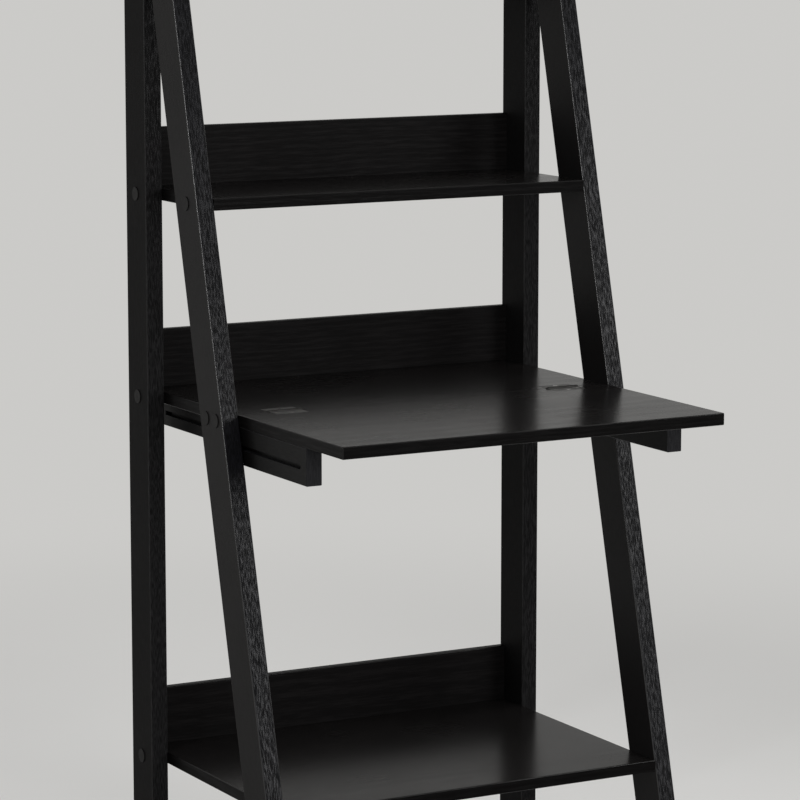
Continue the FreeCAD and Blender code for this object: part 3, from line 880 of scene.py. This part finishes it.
class FastenerTree:
    """A geometry tree that sets one fastener at each point of a mesh.

    The fastener is drawn along +Z from the origin, and each copy is turned to the aim.
    """

    sizes: tuple[str, ...] = ()
    spins: bool = False

    def __init__(self, name: str) -> None:
        """Builds the tree.

        Args:
            name: The tree's name.
        """
        self.tree = bpy.data.node_groups.new(name, "GeometryNodeTree")
        self.tree.is_modifier = True
        self.sheet = NodeSheet(self.tree)
        self.add_input("Points", "NodeSocketGeometry")
        for size in self.sizes:
            self.add_input(size, "NodeSocketFloat")
        self.add_input("Aim", "NodeSocketVector")
        self.add_input("Seed", "NodeSocketInt")
        self.add_input("Material", "NodeSocketMaterial")
        self.tree.interface.new_socket("Fasteners", in_out="OUTPUT", socket_type="NodeSocketGeometry")
        self.given = self.sheet.add("NodeGroupInput").outputs
        self.finish(self.shape())

    def add_input(self, name: str, kind: str) -> None:
        """Adds a named input to the tree."""
        self.tree.interface.new_socket(name, in_out="INPUT", socket_type=kind)

    def shape(self) -> Socket:
        """One fastener."""
        raise NotImplementedError

    def place(self, x: Feed = 0.0, y: Feed = 0.0, z: Feed = 0.0) -> Socket:
        """A place or a size from three numbers."""
        return self.sheet.add("ShaderNodeCombineXYZ", {0: x, 1: y, 2: z}).outputs[0]

    def moved(self, mesh: Feed, shift: Feed, turn: Triple = ORIGIN) -> Socket:
        """A mesh, moved and turned."""
        feeds = {"Geometry": mesh, "Translation": shift, "Rotation": turn}
        return self.sheet.add("GeometryNodeTransform", feeds).outputs[0]

    def taper(self, start: Feed, low: Feed, high: Feed, length: Feed, sides: int) -> Socket:
        """A round taper along Z.

        Args:
            start: Height of its lower end.
            low: Diameter at the lower end.
            high: Diameter at the upper end.
            length: Its length.
            sides: Its number of sides.

        Returns:
            The mesh.
        """
        feeds = {
            "Vertices": sides,
            "Radius Bottom": self.sheet.math("DIVIDE", low, 2.0),
            "Radius Top": self.sheet.math("DIVIDE", high, 2.0),
            "Depth": length,
        }
        cone = self.sheet.add("GeometryNodeMeshCone", feeds)
        return self.moved(cone.outputs["Mesh"], self.place(z=start))

    def bar(self, wide: Feed, deep: Feed, tall: Feed) -> Socket:
        """A rectangular bar about the origin."""
        feeds = {"Size": self.place(wide, deep, tall)}
        return self.sheet.add("GeometryNodeMeshCube", feeds).outputs["Mesh"]

    def joined(self, *meshes: Socket) -> Socket:
        """Several meshes as one.

        Args:
            meshes: The meshes, in order.

        Returns:
            The joined mesh.
        """
        node = self.sheet.add("GeometryNodeJoinGeometry")
        for mesh in reversed(meshes):
            self.sheet.tree.links.new(mesh, node.inputs[0])
        return node.outputs[0]

    def cut(self, operation: str, mesh: Feed, *tools: Socket) -> Socket:
        """A mesh cut by other meshes, one after another.

        Args:
            operation: DIFFERENCE to cut them out, INTERSECT to keep what they share.
            mesh: The mesh.
            tools: The other meshes.

        Returns:
            The mesh that is left.
        """
        for tool in tools:
            node = self.sheet.add("GeometryNodeMeshBoolean", operation=operation, solver="EXACT")
            first = node.inputs["Mesh 1" if operation == "DIFFERENCE" else "Mesh 2"]
            self.sheet.tree.links.new(mesh, first)
            self.sheet.tree.links.new(tool, node.inputs["Mesh 2"])
            mesh = node.outputs["Mesh"]
        return mesh

    def chamfered(self, mesh: Feed, wide: Feed, long: Feed, chamfer_share: float) -> Socket:
        """A round mesh along Z with both rims cut at 45 degrees.

        Args:
            mesh: The mesh, from the origin upwards.
            wide: Its diameter.
            long: Its length.
            chamfer_share: Width of the cut, as a share of the diameter.

        Returns:
            The mesh that is left.
        """
        rim = self.sheet.math("MULTIPLY", wide, 1.0 - 2.0 * chamfer_share)
        broad = self.sheet.math("MULTIPLY_ADD", long, 2.0, rim)
        opening = self.taper(0.0, rim, broad, long, BARREL_SIDES)
        closing = self.taper(0.0, broad, rim, long, BARREL_SIDES)
        return self.cut("INTERSECT", mesh, opening, closing)

    def finish(self, shape: Socket) -> None:
        """Sets the shape at every point, realizes the copies and gives them their finish.

        Args:
            shape: One fastener along +Z.
        """
        sheet = self.sheet
        aimed = sheet.add("FunctionNodeAlignRotationToVector", {"Vector": self.given["Aim"]}, axis="Z")
        turned = aimed.outputs[0]
        if self.spins:
            draw = sheet.add("FunctionNodeRandomValue", {"Seed": self.given["Seed"]}, data_type="FLOAT")
            draw.inputs[3].default_value = math.tau
            spin = sheet.add("FunctionNodeAxisAngleToRotation", {"Angle": draw.outputs[1]})
            feeds = {"Rotation": turned, "Rotate By": spin.outputs[0]}
            turned = sheet.add("FunctionNodeRotateRotation", feeds, rotation_space="LOCAL").outputs[0]
        feeds = {"Points": self.given["Points"], "Instance": shape, "Rotation": turned}
        copies = sheet.add("GeometryNodeInstanceOnPoints", feeds).outputs[0]
        real = sheet.add("GeometryNodeRealizeInstances", {0: copies}).outputs[0]
        feeds = {"Geometry": real, "Material": self.given["Material"]}
        dressed = sheet.add("GeometryNodeSetMaterial", feeds).outputs[0]
        sheet.add("NodeGroupOutput", {0: dressed})

    def grow(self, name: str, points: list[Vector], values: dict[str, object]) -> bpy.types.Object:
        """Makes a piece with one fastener at each point.

        Args:
            name: The piece's name.
            points: Where the fasteners start.
            values: The tree's inputs by name.

        Returns:
            The piece, a plain mesh.
        """
        holder = bpy.data.objects.new(name, bpy.data.meshes.new(name))
        holder.data.from_pydata([tuple(point) for point in points], [], [])
        bpy.context.scene.collection.objects.link(holder)
        modifier = holder.modifiers.new("fasteners", "NODES")
        modifier.node_group = self.tree
        for socket in self.tree.interface.items_tree:
            if socket.in_out == "INPUT" and socket.name in values:
                modifier[socket.identifier] = values[socket.name]
        graph = bpy.context.evaluated_depsgraph_get()
        mesh = bpy.data.meshes.new_from_object(holder.evaluated_get(graph), depsgraph=graph)
        holder.modifiers.clear()
        holder.data = mesh
        mesh.shade_smooth()
        mesh.set_sharp_from_angle(angle=SHARP_ANGLE)
        LOG.info("made %s with %d triangles", name, sum(len(face.vertices) - 2 for face in mesh.polygons))
        return holder


class ScrewTree(FastenerTree):
    """Countersunk wood screws with a cross recess, a thread and a point.

    The recess is sized in shares of the head, its flared middle in shares of the recess's width, the core
    and the point's length in shares of the thread's diameter, and the tip in shares of the core's.
    """

    sizes = ("Head Diameter", "Head Height", "Thread Diameter", "Thread Pitch", "Length")
    spins = True
    core_share = 0.68
    recess_span_share = 0.56
    recess_width_share = 0.13
    recess_depth_share = 0.75
    recess_middle_share = 2.4
    point_share = 1.4
    tip_share = 0.1
    head_sides = 32
    recess_sides = 12
    shank_sides = 14
    thread_sides = 4
    turn_points = 14

    def shape(self) -> Socket:
        """One screw, its head's flat face at the origin.

        Returns:
            The mesh.
        """
        sheet = self.sheet
        head = self.given["Head Diameter"]
        rise = self.given["Head Height"]
        crest = self.given["Thread Diameter"]
        pitch = self.given["Thread Pitch"]
        core = sheet.math("MULTIPLY", crest, self.core_share)
        tip = sheet.math("MULTIPLY", crest, self.point_share)
        run = sheet.math("SUBTRACT", sheet.math("SUBTRACT", self.given["Length"], rise), tip)
        span = sheet.math("MULTIPLY", head, self.recess_span_share)
        width = sheet.math("MULTIPLY", head, self.recess_width_share)
        depth = sheet.math("MULTIPLY", rise, self.recess_depth_share * 2.0)
        flare = sheet.math("MULTIPLY", width, self.recess_middle_share)
        middle = self.taper(0.0, flare, width, rise, self.recess_sides)
        cone = self.taper(0.0, head, core, rise, self.head_sides)
        slots = (self.bar(span, width, depth), self.bar(width, span, depth))
        top = self.cut("DIFFERENCE", cone, *slots, middle)
        shank = self.taper(rise, core, core, run, self.shank_sides)
        end = sheet.math("MULTIPLY", core, self.tip_share)
        point = self.taper(sheet.math("ADD", rise, run), core, end, tip, self.shank_sides)
        return self.joined(top, shank, point, self.thread(core, crest, pitch, rise, run))

    def thread(self, core: Feed, crest: Feed, pitch: Feed, start: Feed, run: Feed) -> Socket:
        """The ridge that winds round the shank.

        Args:
            core: Diameter under the thread.
            crest: Diameter over the thread.
            pitch: Distance from turn to turn.
            start: Height where it starts.
            run: Length of the threaded shank.

        Returns:
            The mesh.
        """
        sheet = self.sheet
        ridge_height = sheet.math("DIVIDE", sheet.math("SUBTRACT", crest, core), 2.0)
        radius = sheet.math("DIVIDE", core, 2.0)
        height = sheet.math("SUBTRACT", run, pitch)
        feeds = {
            "Resolution": self.turn_points,
            "Rotations": sheet.math("DIVIDE", height, pitch),
            "Start Radius": radius,
            "End Radius": radius,
            "Height": height,
        }
        helix = sheet.add("GeometryNodeCurveSpiral", feeds).outputs[0]
        feeds = {"Resolution": self.thread_sides, "Radius": ridge_height}
        profile = sheet.add("GeometryNodeCurvePrimitiveCircle", feeds).outputs[0]
        feeds = {"Curve": helix, "Profile Curve": profile, "Fill Caps": True}
        ridge = sheet.add("GeometryNodeCurveToMesh", feeds).outputs[0]
        lift = sheet.math("MULTIPLY_ADD", pitch, 0.5, start)
        return self.moved(ridge, self.place(z=lift))


class NutTree(FastenerTree):
    """Barrel nuts with chamfered rims, a cross hole along X and a slot in the end at the origin."""

    sizes = ("Diameter", "Length")
    chamfer_share = 0.06
    hole_share = 0.62
    slot_width_share = 0.15
    slot_depth_share = 0.22
    hole_sides = 32

    def shape(self) -> Socket:
        """One nut, its slotted end at the origin.

        Returns:
            The mesh.
        """
        sheet = self.sheet
        wide = self.given["Diameter"]
        long = self.given["Length"]
        barrel = self.taper(0.0, wide, wide, long, BARREL_SIDES)
        body = self.chamfered(barrel, wide, long, self.chamfer_share)
        bore = sheet.math("MULTIPLY", wide, self.hole_share)
        reach = sheet.math("MULTIPLY", wide, 2.0)
        level = self.place(sheet.math("MULTIPLY", wide, -1.0), 0.0, sheet.math("MULTIPLY", long, 0.5))
        drill = self.taper(0.0, bore, bore, reach, self.hole_sides)
        hole = self.moved(drill, level, (0.0, math.pi / 2, 0.0))
        slot_width = sheet.math("MULTIPLY", wide, self.slot_width_share)
        slot_depth = sheet.math("MULTIPLY", wide, self.slot_depth_share * 2.0)
        slot = self.bar(reach, slot_width, slot_depth)
        return self.cut("DIFFERENCE", body, hole, slot)


class DowelTree(FastenerTree):
    """Fluted dowels with chamfered ends."""

    sizes = ("Diameter", "Length")
    chamfer_share = 0.12
    flute_share = 0.92
    flutes = 18

    def shape(self) -> Socket:
        """One dowel, from the origin upwards.

        Returns:
            The mesh.
        """
        sheet = self.sheet
        wide = self.given["Diameter"]
        long = self.given["Length"]
        feeds = {
            "Points": self.flutes,
            "Inner Radius": sheet.math("MULTIPLY", wide, self.flute_share / 2.0),
            "Outer Radius": sheet.math("DIVIDE", wide, 2.0),
        }
        profile = sheet.add("GeometryNodeCurveStar", feeds).outputs[0]
        line = sheet.add("GeometryNodeCurvePrimitiveLine", {"End": self.place(z=long)}).outputs[0]
        feeds = {"Curve": line, "Profile Curve": profile, "Fill Caps": True}
        body = sheet.add("GeometryNodeCurveToMesh", feeds).outputs[0]
        return self.chamfered(body, wide, long, self.chamfer_share)


@dataclass(frozen=True)
class ScrewKind:
    """A kind of screw, in shares of its head's diameter, and the pitch as a share of the thread's."""

    tree: ScrewTree
    thread_share: float
    cone_share: float
    pitch_share: float = 0.45


@dataclass(frozen=True)
class Place:
    """A CAD node of fasteners, the body that it rides on, its aim and the record's slot of its finish."""

    node: str
    body: str
    aim: Aim
    slot: str


@dataclass
class Hardware:
    """Hinges, caps, glides, pegs and fasteners."""

    nodes: dict[str, bpy.types.Object]
    seed: int = 7

    def build(self) -> None:
        """Dresses the pieces that keep their CAD shapes and makes the fasteners."""
        zinc = SCREW_ZINC.material()
        nickel = HINGE_SCREW_NICKEL.material()
        beech = BEECH.material()
        self.dress_all(zinc)
        wood_screw = ScrewKind(ScrewTree("cross_head_screws"), thread_share=0.5, cone_share=0.3)
        hinge_screw = replace(wood_screw, thread_share=0.547, cone_share=0.25)
        self.screws(hinge_screw, Place("hinge_fixed_screws", "frame", Aim.DOWN, "hinge_steel"), nickel)
        self.screws(hinge_screw, Place("hinge_moving_screws", "flap", Aim.DOWN, "hinge_steel"), nickel)
        self.screws(wood_screw, Place("panel_screws", "frame", Aim.UP, "zinc_steel"), zinc)
        self.screws(wood_screw, Place("rail_screws", "frame", Aim.UP, "zinc_steel"), zinc)
        self.screws(wood_screw, Place("frame_screws", "frame", Aim.FORWARD, "zinc_steel"), zinc)
        nuts = NutTree("slotted_nuts")
        dowels = DowelTree("fluted_dowels")
        for side in SIDES:
            nut_place = Place(f"barrel_nuts_{side}", "frame", Aim.UP, "zinc_steel")
            self.barrels(nuts, "slotted", nut_place, zinc)
            dowel_place = Place(f"dowels_{side}", "frame", Aim.ACROSS, "beech_dowel")
            self.barrels(dowels, "fluted", dowel_place, beech)

    def dress_all(self, zinc: bpy.types.Material) -> None:
        """Dresses the pieces that keep their CAD shapes.

        Args:
            zinc: The finish of the bolts.
        """
        plastic = CAP_PLASTIC.material()
        glide = GLIDE_PLASTIC.material()
        nylon = PEG_NYLON.material()
        finishes = {
            "hinge_": HINGE_NICKEL.material(),
            "frame_bolts": zinc,
            "bolt_caps": plastic,
            "rear_foot": glide,
            "front_foot": glide,
            "arm_stop": nylon,
            "arm_guide": nylon,
        }
        for name, node in self.nodes.items():
            for start, material in finishes.items():
                if name.startswith(start):
                    dress(node, material)

    def starts(self, place: Place) -> tuple[list[Vector], float, float]:
        """Where the fasteners of one CAD node start, and how wide and long they are.

        Args:
            place: The node and its aim.

        Returns:
            The starting points, the width and the length.
        """
        way = place.aim.value
        axis = max(range(3), key=lambda index: abs(way[index]))
        cross = (axis + 1) % 3
        boxes = solid_boxes(self.nodes[place.node])
        points = []
        for low, high in boxes:
            point = (low + high) / 2
            point[axis] = (low if way[axis] > 0 else high)[axis]
            points.append(point)
        low, high = boxes[-1]
        return points, high[cross] - low[cross], high[axis] - low[axis]

    def screws(self, kind: ScrewKind, place: Place, material: bpy.types.Material) -> None:
        """Makes the screws of one CAD node, each where the node has one.

        Args:
            kind: The kind of screw.
            place: The node and what it rides on.
            material: Their finish.
        """
        points, head, length = self.starts(place)
        values = {
            "Head Diameter": head,
            "Head Height": head * kind.cone_share,
            "Thread Diameter": head * kind.thread_share,
            "Thread Pitch": head * kind.thread_share * kind.pitch_share,
            "Length": length,
        }
        self.settle(kind.tree, "cross_head", place, material, points, values)

    def barrels(self, tree: FastenerTree, word: str, place: Place, material: bpy.types.Material) -> None:
        """Makes the nuts or dowels of one CAD node, with names that start with the word."""
        points, wide, long = self.starts(place)
        self.settle(tree, word, place, material, points, {"Diameter": wide, "Length": long})

    def settle(self, tree: FastenerTree, word: str, place: Place, material: bpy.types.Material,
               points: list[Vector], sizes: dict[str, float]) -> None:
        """Makes the piece that stands for a CAD node of fasteners, and lets it ride.

        Args:
            tree: The tree that draws one fastener.
            word: First word of the piece's name.
            place: The node and what it rides on.
            material: Their finish.
            points: Where they start.
            sizes: The tree's sizes by name.
        """
        values = {**sizes, "Aim": place.aim.value, "Seed": self.seed, "Material": material}
        piece = tree.grow(f"{word}_{place.node}", points, values)
        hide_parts(place.node)
        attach(piece, place.body)


def main() -> None:
    """Loads the frame and builds the desk's dress and the studio in order."""
    logging.basicConfig(level=logging.INFO, format="%(name)s: %(message)s")
    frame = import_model()
    bpy.context.scene.view_settings.view_transform = "Standard"
    Desk(frame["nodes"]).build()
    Hardware(frame["nodes"]).build()
    Studio().build()


if __name__ == "__main__":
    main()
